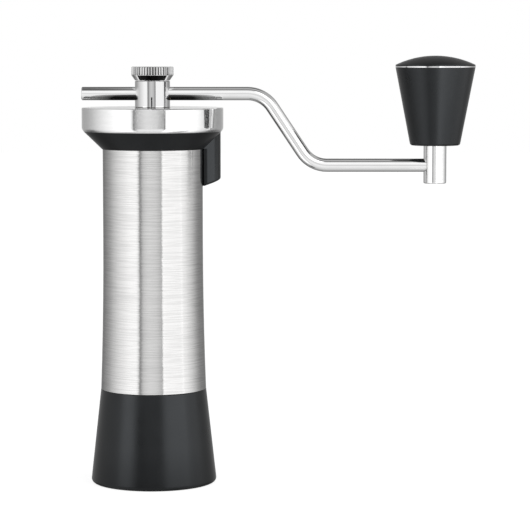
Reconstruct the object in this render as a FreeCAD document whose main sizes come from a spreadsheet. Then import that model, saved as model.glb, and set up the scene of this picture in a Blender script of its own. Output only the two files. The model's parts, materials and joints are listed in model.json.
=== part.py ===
import FreeCAD, Part
import math
import os
import re

import Sketcher
from FreeCAD import Placement, Rotation, Vector

# Hand crank coffee grinder. Z is up, the origin is the middle of the cup's underside and
# the crank arm points along X. Sizes are in millimetres and angles in degrees.
# Radii grow outwards from the inner burr, and heights are stacked upwards from the table.

SIZES = {
    # clearances
    "slip_fit": 0.05,
    "running_fit": 0.05,
    "side_gap": 0.3,
    "face_gap": 0.15,
    # catch cup and its keeper ring
    "cup_height": 48.3,
    "cup_flare": 5.35,
    "cup_base_round": 2.0,
    "cup_lip_round": 0.5,
    "cup_wall": 2.8,
    "cup_floor": 3.0,
    "cup_floor_round": 2.0,
    "cup_ledge": 1.2,
    "cup_ledge_slope": 4.0,
    "keeper_thickness": 1.2,
    "keeper_gap": 0.3,
    # body tube
    "tube_length": 129.9,
    "tube_flare": 1.45,
    "tube_flare_height": 77.0,
    "tube_wall": 1.8,
    "burr_shoulder": 1.0,
    # burr set
    "inner_burr_radius": 18.6,
    "inner_burr_height": 16.0,
    "inner_burr_overhang": 1.3,
    "inner_teeth_height": 11.0,
    "inner_teeth_slope": 3.6,
    "inner_tooth_depth": 0.8,
    "inner_tooth_count": 36,
    "inner_teeth_twist": 14.0,
    "crown_radius": 8.0,
    "crown_root_ratio": 0.72,
    "crown_tooth_count": 6,
    "crown_twist": 45.0,
    "burr_gap": 0.4,
    "burr_throat": 0.8,
    "outer_burr_wall": 5.95,
    "outer_burr_height": 20.0,
    "outer_burr_entry": 1.9,
    "outer_tooth_depth": 0.9,
    "outer_tooth_count": 40,
    "outer_teeth_twist": 12.0,
    "burr_slot_depth": 3.0,
    "drive_pin_radius": 1.25,
    "drive_pin_inset": 0.6,
    "burr_washer_radius": 9.0,
    "burr_washer_thickness": 1.5,
    "burr_screw_radius": 2.0,
    "burr_screw_head_radius": 5.5,
    "burr_screw_head_height": 3.0,
    "burr_screw_length": 14.0,
    "screw_socket_radius": 2.3,
    "screw_socket_depth": 1.8,
    # retaining ring, spigot and magnets
    "retainer_height": 8.0,
    "retainer_gap": 1.0,
    "spigot_length": 7.0,
    "spigot_step": 1.2,
    "magnet_radius": 1.4,
    "magnet_height": 3.0,
    "magnet_count": 6,
    # ball bearings
    "bearing_radius": 8.0,
    "bearing_width": 5.0,
    "ball_radius": 1.19,
    "ball_count": 9,
    "race_gap": 0.65,
    "cage_half_wall": 0.4,
    "cage_height": 3.2,
    # circlips
    "clip_thickness": 0.9,
    "clip_depth": 0.55,
    "clip_reach": 0.9,
    "clip_opening": 3.0,
    # bearing carriers
    "spider_arm_count": 3,
    "spider_arm_azimuth": 60.0,
    "spider_arm_angle": 20.0,
    "spider_ring_wall": 1.6,
    "lower_spider_height": 8.0,
    "lower_spider_web": 5.0,
    "lower_hub_wall": 2.4,
    "lip_gap": 1.7,
    "upper_spider_depth": 6.2,
    "upper_hub_height": 8.0,
    "upper_hub_wall": 3.65,
    "upper_spider_web": 5.0,
    "upper_ring_drop": 1.6,
    "spider_screw_drop": 3.8,
    "spider_screw_radius": 1.2,
    "spider_screw_head_radius": 2.2,
    "spider_screw_head_height": 1.1,
    # bearing sleeve and dial
    "sleeve_wall": 1.4,
    "sleeve_lip": 2.0,
    "sleeve_rise": 0.2,
    "sleeve_proud": 0.4,
    "key_radius": 1.0,
    "key_level": 2.2,
    "key_reach": 1.0,
    "keyway_room": 1.5,
    "dial_rim": 5.0,
    "dial_height": 6.0,
    "dial_edge": 0.6,
    "dial_notch_radius": 0.7,
    "dial_notch_count": 30,
    "dial_tick_width": 0.5,
    "dial_tick_length": 2.2,
    "dial_tick_depth": 0.3,
    "dial_tick_count": 10,
    "detent_azimuth": 180.0,
    "detent_ball_radius": 1.0,
    "detent_pocket_depth": 6.0,
    "detent_wire_radius": 0.15,
    "detent_turns": 4,
    # drive shaft and its spring
    "shaft_radius": 5.0,
    "shaft_step_rise": 1.7,
    "shaft_foot_rise": 0.5,
    "journal_radius": 4.0,
    "journal_reach": 7.0,
    "hex_radius": 3.9,
    "hex_fit": 0.1,
    "hex_reach": 0.5,
    "hex_room": 1.5,
    "spring_wire_radius": 0.45,
    "spring_side_gap": 0.25,
    "spring_end_gap": 0.1,
    "spring_turns": 3,
    # hopper collar, thumb rest and seal
    "collar_lip": 0.3,
    "collar_drop": 7.7,
    "collar_shelf": 1.3,
    "collar_flare": 9.3,
    "collar_spigot_height": 4.5,
    "collar_spigot_wall": 2.4,
    "seal_radius": 0.8,
    "seal_groove_depth": 1.5,
    "thumb_rest_width": 16.0,
    "thumb_rest_drop": 27.9,
    "thumb_rest_rise": 3.4,
    "thumb_rest_azimuth": 20.0,
    "thumb_rest_flat": 0.4,
    "thumb_rest_round": 1.2,
    "thumb_rest_heel": 2.0,
    # lid, its inlay and its bush
    "lid_height": 12.0,
    "lid_tuck": 0.9,
    "lid_tuck_height": 2.2,
    "lid_wall": 3.2,
    "lid_plate": 2.8,
    "lid_edge_round": 0.5,
    "inlay_rim": 3.4,
    "inlay_thickness": 1.2,
    "lid_boss_height": 7.0,
    "lid_boss_wall": 3.2,
    "lid_bush_wall": 2.2,
    # crank hub
    "hub_neck_wall": 3.0,
    "hub_shoulder": 1.9,
    "hub_cap": 3.15,
    "hub_edge": 0.4,
    "hub_neck_tail": 1.3,
    "hub_slit_width": 0.7,
    "hub_slit_rise": 5.05,
    "hub_washer_thickness": 0.6,
    "hub_washer_width": 2.6,
    # crank arm
    "arm_radius": 3.4,
    "arm_rise": 7.05,
    "arm_drop": 36.3,
    "arm_bend_at": 56.2,
    "arm_bend_run": 24.2,
    "arm_bend_radius": 15.0,
    "arm_reach": 143.3,
    "arm_end_edge": 0.4,
    "arm_socket_depth": 4.0,
    # thumb screw and clamp pad
    "thumb_screw_radius": 4.0,
    "thumb_screw_collar": 0.2,
    "knurl_radius": 10.7,
    "knurl_height": 4.15,
    "knurl_depth": 0.55,
    "knurl_count": 46,
    "knurl_edge": 0.4,
    "thumb_screw_cone_height": 2.75,
    "pad_thickness": 0.7,
    "pad_gap": 0.05,
    # knob and its post
    "post_radius": 5.84,
    "post_below": 9.2,
    "post_above": 9.95,
    "post_edge": 0.6,
    "axle_radius": 4.0,
    "knob_foot_radius": 12.6,
    "knob_flare": 7.6,
    "knob_height": 39.4,
    "knob_foot_round": 1.4,
    "knob_wall": 3.0,
    "knob_floor": 6.0,
    "knob_bush_wall": 2.0,
    "knob_bush_length": 8.0,
    "knob_boss_wall": 2.6,
    "knob_boss_height": 31.0,
    "knob_end_float": 0.3,
    "knob_washer_thickness": 1.0,
    "knob_screw_radius": 2.0,
    "knob_screw_length": 10.0,
    "knob_screw_head_radius": 4.2,
    "knob_screw_head_height": 2.8,
    "trim_height": 0.65,
    "trim_proud": 0.1,
    "cap_height": 5.3,
    "cap_edge_height": 0.7,
    "cap_skirt_wall": 2.0,
    "cap_skirt_depth": 4.0,
}

# radii, from the burrs outwards
BURR_BORE = "(inner_burr_radius + outer_burr_wall + slip_fit)"
HOPPER_BORE = f"({BURR_BORE} - burr_shoulder)"
WAIST = f"({HOPPER_BORE} + tube_wall)"
FOOT = f"({WAIST} + tube_flare)"
RETAINER_BORE = "(inner_burr_radius + retainer_gap)"
SPIGOT = f"({BURR_BORE} - spigot_step)"
CUP_SOCKET = f"({SPIGOT} + side_gap)"
CUP_BASE = f"({FOOT} + cup_flare)"
COLLAR_FOOT_RADIUS = f"({WAIST} + collar_lip)"
COLLAR_RIM = f"({COLLAR_FOOT_RADIUS} + collar_flare)"
LID_RADIUS = f"({COLLAR_RIM} + lid_tuck)"
LID_BORE = f"({LID_RADIUS} - lid_wall)"
INLAY_SEAT = f"({LID_RADIUS} - inlay_rim)"
COLLAR_SPIGOT = f"({LID_BORE} - side_gap)"
BEARING_BORE = "(journal_radius + slip_fit)"
BALL_PITCH = f"(({BEARING_BORE} + bearing_radius) / 2)"
BEARING_SEAT = "(bearing_radius + slip_fit)"
LIP_BORE = "(shaft_radius + lip_gap)"
SLEEVE_RADIUS = f"({BEARING_SEAT} + sleeve_wall)"
SLEEVE_GUIDE = f"({SLEEVE_RADIUS} + running_fit)"
UPPER_HUB = f"({SLEEVE_GUIDE} + upper_hub_wall)"
LOWER_HUB = f"({BEARING_SEAT} + lower_hub_wall)"
UPPER_RING = f"({HOPPER_BORE} - slip_fit)"
LOWER_RING = f"({BURR_BORE} - slip_fit)"
DIAL_RADIUS = f"({SLEEVE_GUIDE} + dial_rim)"
DETENT_PITCH = f"({SLEEVE_GUIDE} + upper_hub_wall / 2)"
HEX_SOCKET = "(hex_radius + hex_fit)"
HUB_NECK = f"({HEX_SOCKET} + hub_neck_wall)"
HUB_RADIUS = f"({HUB_NECK} + hub_shoulder)"
HUB_GROOVE = f"({HUB_NECK} - clip_depth)"
LID_BUSH_BORE = f"({HUB_NECK} + running_fit)"
LID_BUSH_RADIUS = f"({LID_BUSH_BORE} + lid_bush_wall)"
LID_BOSS_BORE = f"({LID_BUSH_RADIUS} + slip_fit)"
LID_BOSS = f"({LID_BOSS_BORE} + lid_boss_wall)"
KNOB_BUSH_BORE = "(axle_radius + running_fit)"
KNOB_BUSH_RADIUS = f"({KNOB_BUSH_BORE} + knob_bush_wall)"
KNOB_BORE = f"({KNOB_BUSH_RADIUS} + slip_fit)"
KNOB_BOSS = f"({KNOB_BORE} + knob_boss_wall)"
KNOB_TOP_RADIUS = "(knob_foot_radius + knob_flare)"
KNOB_MOUTH = f"({KNOB_TOP_RADIUS} - knob_wall)"
CAP_SKIRT = f"({KNOB_MOUTH} - slip_fit)"

# heights, from the table upwards
KEEPER_TOP = "(cup_height - spigot_length - keeper_gap)"
LEDGE = f"({KEEPER_TOP} - keeper_thickness)"
RETAINER_TOP = "(cup_height + retainer_height)"
OUTER_BURR_TOP = f"({RETAINER_TOP} + outer_burr_height)"
TUBE_SHOULDER = f"({OUTER_BURR_TOP} + lower_spider_height)"
LOWER_BEARING_FOOT = f"({OUTER_BURR_TOP} + clip_thickness + face_gap * 2)"
LOWER_BEARING_TOP = f"({LOWER_BEARING_FOOT} + bearing_width)"
INNER_BURR_FOOT = f"({RETAINER_TOP} - inner_burr_overhang)"
INNER_BURR_TOP = f"({INNER_BURR_FOOT} + inner_burr_height)"
TEETH_TOP = f"({INNER_BURR_FOOT} + inner_teeth_height)"
TUBE_TOP = "(cup_height + tube_length)"
UPPER_HUB_TOP = f"({TUBE_TOP} - upper_spider_depth)"
UPPER_HUB_FOOT = f"({UPPER_HUB_TOP} - upper_hub_height)"
SLEEVE_FOOT = f"({UPPER_HUB_FOOT} + sleeve_rise)"
UPPER_BEARING_FOOT = f"({SLEEVE_FOOT} + sleeve_lip)"
UPPER_BEARING_TOP = f"({UPPER_BEARING_FOOT} + bearing_width)"
DIAL_FOOT = f"({UPPER_HUB_TOP} + face_gap)"
DIAL_TOP = f"({DIAL_FOOT} + dial_height)"
KEY_LEVEL = f"({UPPER_HUB_FOOT} + key_level)"
SPIDER_SCREW_LEVEL = f"({TUBE_TOP} - spider_screw_drop)"
COLLAR_FOOT = f"({TUBE_TOP} - collar_drop)"
LID_SEAT = f"({TUBE_TOP} + collar_shelf)"
COLLAR_TOP = f"({LID_SEAT} + collar_spigot_height)"
SEAL_LEVEL = f"({LID_SEAT} + collar_spigot_height / 2)"
LID_TOP = f"({LID_SEAT} + lid_height)"
LID_CEILING = f"({LID_TOP} - lid_plate)"
INLAY_FOOT = f"({LID_TOP} - inlay_thickness)"
LID_BOSS_FOOT = f"({LID_TOP} - lid_boss_height)"
HUB_WASHER_TOP = f"({LID_BOSS_FOOT} - face_gap)"
HUB_CLIP_TOP = f"({HUB_WASHER_TOP} - hub_washer_thickness)"
HUB_TIP = f"({HUB_CLIP_TOP} - clip_thickness - hub_neck_tail)"
HUB_FOOT = f"({LID_TOP} + face_gap)"
SHAFT_TOP = f"({LID_TOP} + hex_reach)"
ARM_LEVEL = f"({LID_TOP} + arm_rise)"
HUB_TOP = f"({ARM_LEVEL} + arm_radius + hub_cap)"
PAD_FOOT = f"({ARM_LEVEL} + arm_radius + pad_gap)"
PAD_TOP = f"({PAD_FOOT} + pad_thickness)"
THUMB_SCREW_FOOT = f"({HUB_TOP} + face_gap)"
KNURL_FOOT = f"({THUMB_SCREW_FOOT} + thumb_screw_cone_height)"
KNURL_TOP = f"({KNURL_FOOT} + knurl_height)"
LOW_ARM_LEVEL = f"({ARM_LEVEL} - arm_drop)"
POST_FOOT = f"({LOW_ARM_LEVEL} - post_below)"
POST_TOP = f"({LOW_ARM_LEVEL} + post_above)"
KNOB_FOOT = f"({POST_TOP} + face_gap)"
KNOB_BOSS_TOP = f"({KNOB_FOOT} + knob_boss_height)"
AXLE_TOP = f"({KNOB_BOSS_TOP} + knob_end_float)"
KNOB_WASHER_TOP = f"({AXLE_TOP} + knob_washer_thickness)"
KNOB_RIM = f"({KNOB_FOOT} + knob_height)"
CAP_FOOT = f"({KNOB_RIM} + trim_height)"
CAP_TOP = f"({CAP_FOOT} + cap_height)"

doc = FreeCAD.newDocument("CoffeeGrinder")
sheet = doc.addObject("Spreadsheet::Sheet", "Sizes")
for row, (size_name, size) in enumerate(SIZES.items(), start=1):
    sheet.set(f"A{row}", size_name)
    sheet.set(f"B{row}", str(size))
    sheet.setAlias(f"B{row}", size_name)
doc.recompute()


# Expressions and sketches

def bound(text):
    """Expression with every size name pointing at the sheet."""
    return re.sub(r"\b[a-z][a-z_]+\b(?!\()", r"Sizes.\g<0>", text)


def number(text):
    """Present value of an expression of sizes."""
    return float(sheet.evalExpression(text))


def bind(item, **properties):
    """Bind properties of an object to expressions of sizes."""
    for name, text in properties.items():
        item.setExpression(name, bound(text))


def place(item, x="0", y="0", z="0", axis=Vector(0, 0, 1), angle=0.0):
    """Turn an object about an axis and bind its position to expressions of sizes."""
    item.Placement = Placement(Vector(0, 0, 0), Rotation(axis, angle))
    for name, text in (("x", x), ("y", y), ("z", z)):
        item.setExpression(f"Placement.Base.{name}", bound(text))


def new_sketch(body, name, role):
    """Sketch on one of the body's own origin planes."""
    sketch = body.newObject("Sketcher::SketchObject", name)
    plane = next(item for item in body.Origin.OriginFeatures if item.Role == role)
    sketch.AttachmentSupport = [(plane, "")]
    sketch.MapMode = "FlatFace"
    return sketch


def hold_along(sketch, geometry, end, kind, text):
    """Fix one coordinate of a sketch point at an expression, from the sketch's origin."""
    if text == "0":
        axis = -2 if kind == "DistanceX" else -1
        sketch.addConstraint(Sketcher.Constraint("PointOnObject", geometry, end, axis))
        return
    rule = Sketcher.Constraint(kind, -1, 1, geometry, end, number(text))
    index = sketch.addConstraint(rule)
    sketch.setExpression(f"Constraints[{index}]", bound(text))


def hold_point(sketch, geometry, end, x, y):
    """Fix a sketch point at a pair of expressions."""
    hold_along(sketch, geometry, end, "DistanceX", x)
    hold_along(sketch, geometry, end, "DistanceY", y)


def hold_radius(sketch, geometry, text):
    """Fix the radius of a circle or an arc at an expression."""
    index = sketch.addConstraint(Sketcher.Constraint("Radius", geometry, number(text)))
    sketch.setExpression(f"Constraints[{index}]", bound(text))


def arc_between(sketch, centre, start, stop):
    """Short arc from start to stop, and the numbers of its ends at start and at stop."""
    radius = (start - centre).Length
    first = math.atan2(start.y - centre.y, start.x - centre.x)
    turn = math.atan2(stop.y - centre.y, stop.x - centre.x) - first
    turn = (turn + math.pi) % (2 * math.pi) - math.pi
    low, high = sorted((first, first + turn))
    circle = Part.Circle(centre, Vector(0, 0, 1), radius)
    geometry = sketch.addGeometry(Part.ArcOfCircle(circle, low, high), False)
    ends = (1, 2) if turn > 0 else (2, 1)
    return geometry, ends


def rounded_ends(point, before, after, radius):
    """Where a rounding of two lines starts and stops, and its centre."""
    back = (before - point).normalize()
    ahead = (after - point).normalize()
    half = back.getAngle(ahead) / 2
    reach = radius / math.tan(half)
    centre = point + (back + ahead).normalize() * (radius / math.sin(half))
    return point + back * reach, point + ahead * reach, centre


def arc_centre(kind, start, stop):
    """Centre of an arc that is upright at its far end, or whose centre has a given x."""
    if kind == "upright":
        across = start.x - stop.x
        x = (start.x**2 - stop.x**2 + (start.y - stop.y) ** 2) / (2 * across)
        return Vector(x, stop.y, 0)
    x = number(kind)
    reach = (stop.x - x) ** 2 - (start.x - x) ** 2
    y = (stop.y + start.y) / 2 + reach / (2 * (stop.y - start.y))
    return Vector(x, y, 0)


def join_ends(sketch, kind, first, second):
    """Join the far end of one side to the near end of the next."""
    rule = Sketcher.Constraint(kind, first[0], first[1][1], second[0], second[1][0])
    sketch.addConstraint(rule)


def draw(sketch, corners, closed=True):
    """Outline through corners (x, y), (x, y, "round", radius) or (x, y, "arc", kind).

    A "round" corner is rounded by its radius. From an "arc" corner an arc leads to the next
    one, where it runs upright into the following line (kind "upright"), or its centre lies
    at the x that kind gives.
    """
    count = len(corners)
    points = [Vector(number(corner[0]), number(corner[1]), 0) for corner in corners]
    marks = [corner[2] if len(corner) > 2 else "" for corner in corners]
    starts = list(points)
    stops = list(points)
    centres = {}
    for index, corner in enumerate(corners):
        if marks[index] == "round":
            before = points[index - 1]
            after = points[(index + 1) % count]
            trimmed = rounded_ends(points[index], before, after, number(corner[3]))
            stops[index], starts[index], centres[index] = trimmed
    sides = []
    for index in range(count if closed else count - 1):
        start = starts[index]
        stop = stops[(index + 1) % count]
        if marks[index] == "arc":
            centre = arc_centre(corners[index][3], start, stop)
            sides.append(arc_between(sketch, centre, start, stop))
        else:
            line = sketch.addGeometry(Part.LineSegment(start, stop), False)
            sides.append((line, (1, 2)))
    for index, corner in enumerate(corners):
        x, y = corner[:2]
        before = sides[index - 1] if closed or index else None
        after = sides[index] if index < len(sides) else None
        if marks[index] == "round":
            arc, ends = arc_between(sketch, centres[index], stops[index], starts[index])
            join_ends(sketch, "Tangent", before, (arc, ends))
            join_ends(sketch, "Tangent", (arc, ends), after)
            hold_radius(sketch, arc, corner[3])
            virtual = sketch.addGeometry(Part.Point(points[index]), True)
            sketch.addConstraint(Sketcher.Constraint("PointOnObject", virtual, 1, before[0]))
            sketch.addConstraint(Sketcher.Constraint("PointOnObject", virtual, 1, after[0]))
            hold_point(sketch, virtual, 1, x, y)
            continue
        if before and after:
            upright = marks[index - 1] == "arc" and corners[index - 1][3] == "upright"
            join_ends(sketch, "Tangent" if upright else "Coincident", before, after)
        geometry, ends = after or before
        hold_point(sketch, geometry, ends[0] if after else ends[1], x, y)
        if marks[index] == "arc" and corner[3] != "upright":
            hold_along(sketch, after[0], 3, "DistanceX", corner[3])


# Building blocks

def new_body(label):
    """Empty body with a label."""
    body = doc.addObject("PartDesign::Body", "Body")
    body.Label = label
    return body


def turned(label, corners, x="0"):
    """Body turned from an outline of (radius, height) corners about an upright axis at x."""
    body = new_body(label)
    sketch = new_sketch(body, "Outline", "XZ_Plane")
    draw(sketch, corners)
    revolution = body.newObject("PartDesign::Revolution", "Turned")
    revolution.Profile = sketch
    revolution.ReferenceAxis = (sketch, ["V_Axis"])
    revolution.Angle = 360
    if x != "0":
        place(body, x=x)
    return body


def ring(label, outer, bore, foot, top, x="0"):
    """Turned body with a plain rectangular section."""
    corners = [(bore, foot), (outer, foot), (outer, top), (bore, top)]
    return turned(label, corners, x)


def rod(radius, foot, top, x="0", y="0"):
    """Upright cylinder between two heights."""
    item = doc.addObject("Part::Cylinder", "Rod")
    bind(item, Radius=radius, Height=f"{top} - {foot}")
    place(item, x=x, y=y, z=foot)
    return item


def radial_rod(radius, inner, outer, height, azimuth):
    """Level cylinder that points away from the upright axis."""
    item = doc.addObject("Part::Cylinder", "RadialRod")
    bind(item, Radius=radius, Height=f"{outer} - ({inner})")
    along_x, along_y = heading(azimuth)
    axis = Vector(-along_y, along_x, 0)
    place(item, f"{along_x} * ({inner})", f"{along_y} * ({inner})", height, axis, 90.0)
    return item


def block(length, width, foot, top, start):
    """Upright box centred on the X axis, from start along X."""
    item = doc.addObject("Part::Box", "Block")
    bind(item, Length=length, Width=width, Height=f"{top} - {foot}")
    place(item, x=start, y=f"-({width}) / 2", z=foot)
    return item


def hexagon(radius, foot, top, x="0"):
    """Upright hexagonal bar between two heights."""
    item = doc.addObject("Part::Prism", "Hexagon")
    item.Polygon = 6
    bind(item, Circumradius=radius, Height=f"{top} - {foot}")
    place(item, x=x, z=foot)
    return item


def heading(azimuth):
    """Unit direction of an azimuth, as rounded numbers for an expression."""
    angle = math.radians(azimuth)
    return round(math.cos(angle), 9), round(math.sin(angle), 9)


def azimuths(count, first=0.0):
    """Evenly spaced azimuths of a full circle, for an expression of a count."""
    total = int(number(count))
    return [first + 360.0 * index / total for index in range(total)]


def spider_arm_azimuths():
    """Azimuths of the arms of both bearing carriers."""
    return azimuths("spider_arm_count", number("spider_arm_azimuth"))


def compound(label, items):
    """Separate solids kept together under one label."""
    group = doc.addObject("Part::Compound", "Group")
    group.Links = items
    group.Label = label
    return group


def fused(label, items):
    """Solids joined into one."""
    joined = doc.addObject("Part::MultiFuse", "Joined")
    joined.Shapes = items
    joined.Label = label
    return joined


def cut(label, base, tools):
    """Solid with the tools cut away."""
    trimmed = doc.addObject("Part::Cut", "Trimmed")
    trimmed.Base = base
    trimmed.Tool = tools[0] if len(tools) == 1 else fused(f"{label}_cutters", tools)
    trimmed.Label = label
    return trimmed


def circlip(label, bore, outer, foot):
    """Spring clip: a flat ring with an opening."""
    top = f"({foot} + clip_thickness)"
    whole = ring(f"{label}_ring", outer, bore, foot, top)
    gap = block(f"{outer} + clip_opening", "clip_opening", foot, top, "0")
    return cut(label, whole, [gap])


def tangent_arc(start, direction, stop):
    """Arc that leaves start in a direction and ends at stop."""
    chord = stop - start
    angle = direction.getAngle(chord)
    along = chord * (1 / chord.Length)
    side = (direction - along * direction.dot(along)).normalize()
    middle = start + chord * 0.5 + side * (chord.Length / 2 * math.tan(angle / 2))
    return Part.Arc(start, middle, stop).toShape()


def coil(label, radius, wire, foot, top, turns, x="0", y="0"):
    """Spring wound with a steady pitch, each quarter turn as a pair of tangent arcs."""
    mean = number(radius)
    thickness = number(wire)
    low = number(foot) + thickness
    rise = number(top) - thickness - low
    quarters = 4 * int(number(turns))
    slope = rise / (quarters * math.pi / 2)
    print(f"{label}: {2 * math.pi * slope - 2 * thickness:.2f} mm between turns")

    def helix(step):
        angle = step * math.pi / 2
        point = Vector(mean * math.cos(angle), mean * math.sin(angle), low + slope * angle)
        course = Vector(-mean * math.sin(angle), mean * math.cos(angle), slope).normalize()
        return point, course

    edges = []
    for step in range(quarters):
        start, leaving = helix(step)
        stop, arriving = helix(step + 1)
        chord = stop - start
        bend = 2 * (1 - leaving.dot(arriving))
        push = chord.dot(leaving + arriving)
        reach = (-push + math.sqrt(push**2 + bend * chord.dot(chord))) / bend
        middle = (start + stop + (leaving - arriving) * reach) * 0.5
        edges.append(tangent_arc(start, leaving, middle))
        edges.append(tangent_arc(stop, arriving * -1, middle))
    start, leaving = helix(0)
    section = Part.Wire([Part.makeCircle(thickness, start, leaving)])
    spine = Part.Wire(Part.__sortEdges__(edges))
    item = doc.addObject("Part::Feature", "Coil")
    item.Shape = spine.makePipeShell([section], True, False)
    item.Label = label
    place(item, x=x, y=y)
    return item


def star(count, tip, root, height, turn):
    """Closed toothed outline: tips and roots in turn, at a height and turned by an angle."""
    points = []
    for index in range(count):
        for share, radius in ((0.0, tip), (0.35, root)):
            angle = 2 * math.pi * (index + share) / count + math.radians(turn)
            points.append(Vector(radius * math.cos(angle), radius * math.sin(angle), height))
    return Part.makePolygon(points + points[:1])


def toothed(label, sections):
    """Twisted toothed solid through star outlines."""
    item = doc.addObject("Part::Feature", "Teeth")
    item.Shape = Part.makeLoft(sections, True, True)
    item.Label = label
    return item


# Catch cup

def catch_cup():
    """Cup with an even wall, a ledge for the keeper ring and an open socket for the spigot."""
    slope_foot = f"({LEDGE} - cup_ledge - cup_ledge_slope)"
    wall_at_slope = f"({FOOT} + cup_flare * (1 - {slope_foot} / cup_height) - cup_wall)"
    wall_at_floor = f"({FOOT} + cup_flare * (1 - cup_floor / cup_height) - cup_wall)"
    return turned("catch_cup", [
        ("0", "0"),
        (CUP_BASE, "0", "round", "cup_base_round"),
        (FOOT, "cup_height", "round", "cup_lip_round"),
        (CUP_SOCKET, "cup_height"),
        (CUP_SOCKET, LEDGE),
        (RETAINER_BORE, LEDGE),
        (RETAINER_BORE, f"{LEDGE} - cup_ledge"),
        (wall_at_slope, slope_foot),
        (wall_at_floor, "cup_floor", "round", "cup_floor_round"),
        ("0", "cup_floor"),
    ])


def cup_keeper_ring():
    """Steel ring on the cup's ledge, under the magnets."""
    return ring("cup_keeper_ring", f"{CUP_SOCKET} - slip_fit", RETAINER_BORE, LEDGE, KEEPER_TOP)


# Body

def body_tube():
    """Waisted tube with a shoulder inside and recessed holes for the carrier's screws."""
    blank = turned("tube_blank", [
        (BURR_BORE, "cup_height"),
        (FOOT, "cup_height", "arc", "upright"),
        (WAIST, "cup_height + tube_flare_height"),
        (WAIST, TUBE_TOP),
        (HOPPER_BORE, TUBE_TOP),
        (HOPPER_BORE, TUBE_SHOULDER),
        (BURR_BORE, TUBE_SHOULDER),
    ])
    recess = f"{WAIST} - spider_screw_head_height - slip_fit"
    beyond = f"{WAIST} + tube_flare"
    shank = "spider_screw_radius + slip_fit"
    head = "spider_screw_head_radius + slip_fit"
    tools = []
    for azimuth in spider_arm_azimuths():
        tools.append(radial_rod(shank, UPPER_RING, beyond, SPIDER_SCREW_LEVEL, azimuth))
        tools.append(radial_rod(head, recess, beyond, SPIDER_SCREW_LEVEL, azimuth))
    return cut("body_tube", blank, tools)


def spider_screws():
    """Screws through the tube into the upper carrier, with their heads below the surface."""
    tip = f"{UPPER_RING} - spider_ring_wall"
    top = f"{WAIST} - slip_fit"
    seat = f"{top} - spider_screw_head_height"
    screws = []
    for azimuth in spider_arm_azimuths():
        shank = radial_rod("spider_screw_radius", tip, top, SPIDER_SCREW_LEVEL, azimuth)
        head = radial_rod("spider_screw_head_radius", seat, top, SPIDER_SCREW_LEVEL, azimuth)
        screws.append(fused("spider_screw", [shank, head]))
    return compound("spider_screws", screws)


def edge_names(shape, wanted):
    """Names of the edges whose two ends both pass a test."""
    names = []
    for index, edge in enumerate(shape.Edges, start=1):
        if all(wanted(vertex.Point) for vertex in edge.Vertexes) and len(edge.Vertexes) == 2:
            names.append(f"Edge{index}")
    return names


def heel_corners(flank):
    """What is cleared to round the edge between a flank of the thumb rest and the tube.

    The x axis runs along the rest, and flank is the sign of the flank's side of it.
    """
    bore = f"({WAIST} + slip_fit)"
    half_width = "(thumb_rest_width / 2)"
    centre = f"sqrt(({bore} + thumb_rest_heel)^2 - ({half_width} - thumb_rest_heel)^2)"
    share = f"{bore} / ({bore} + thumb_rest_heel)"
    touch = f"({centre} * {share})"
    touch_side = f"{flank}(({half_width} - thumb_rest_heel) * {share})"
    beyond = f"{flank}({half_width} + thumb_rest_heel)"
    return [
        (centre, f"{flank}{half_width}", "arc", centre),
        (touch, touch_side),
        (f"{touch} - thumb_rest_heel", touch_side),
        (f"{touch} - thumb_rest_heel", beyond),
        (centre, beyond),
    ]


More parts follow.
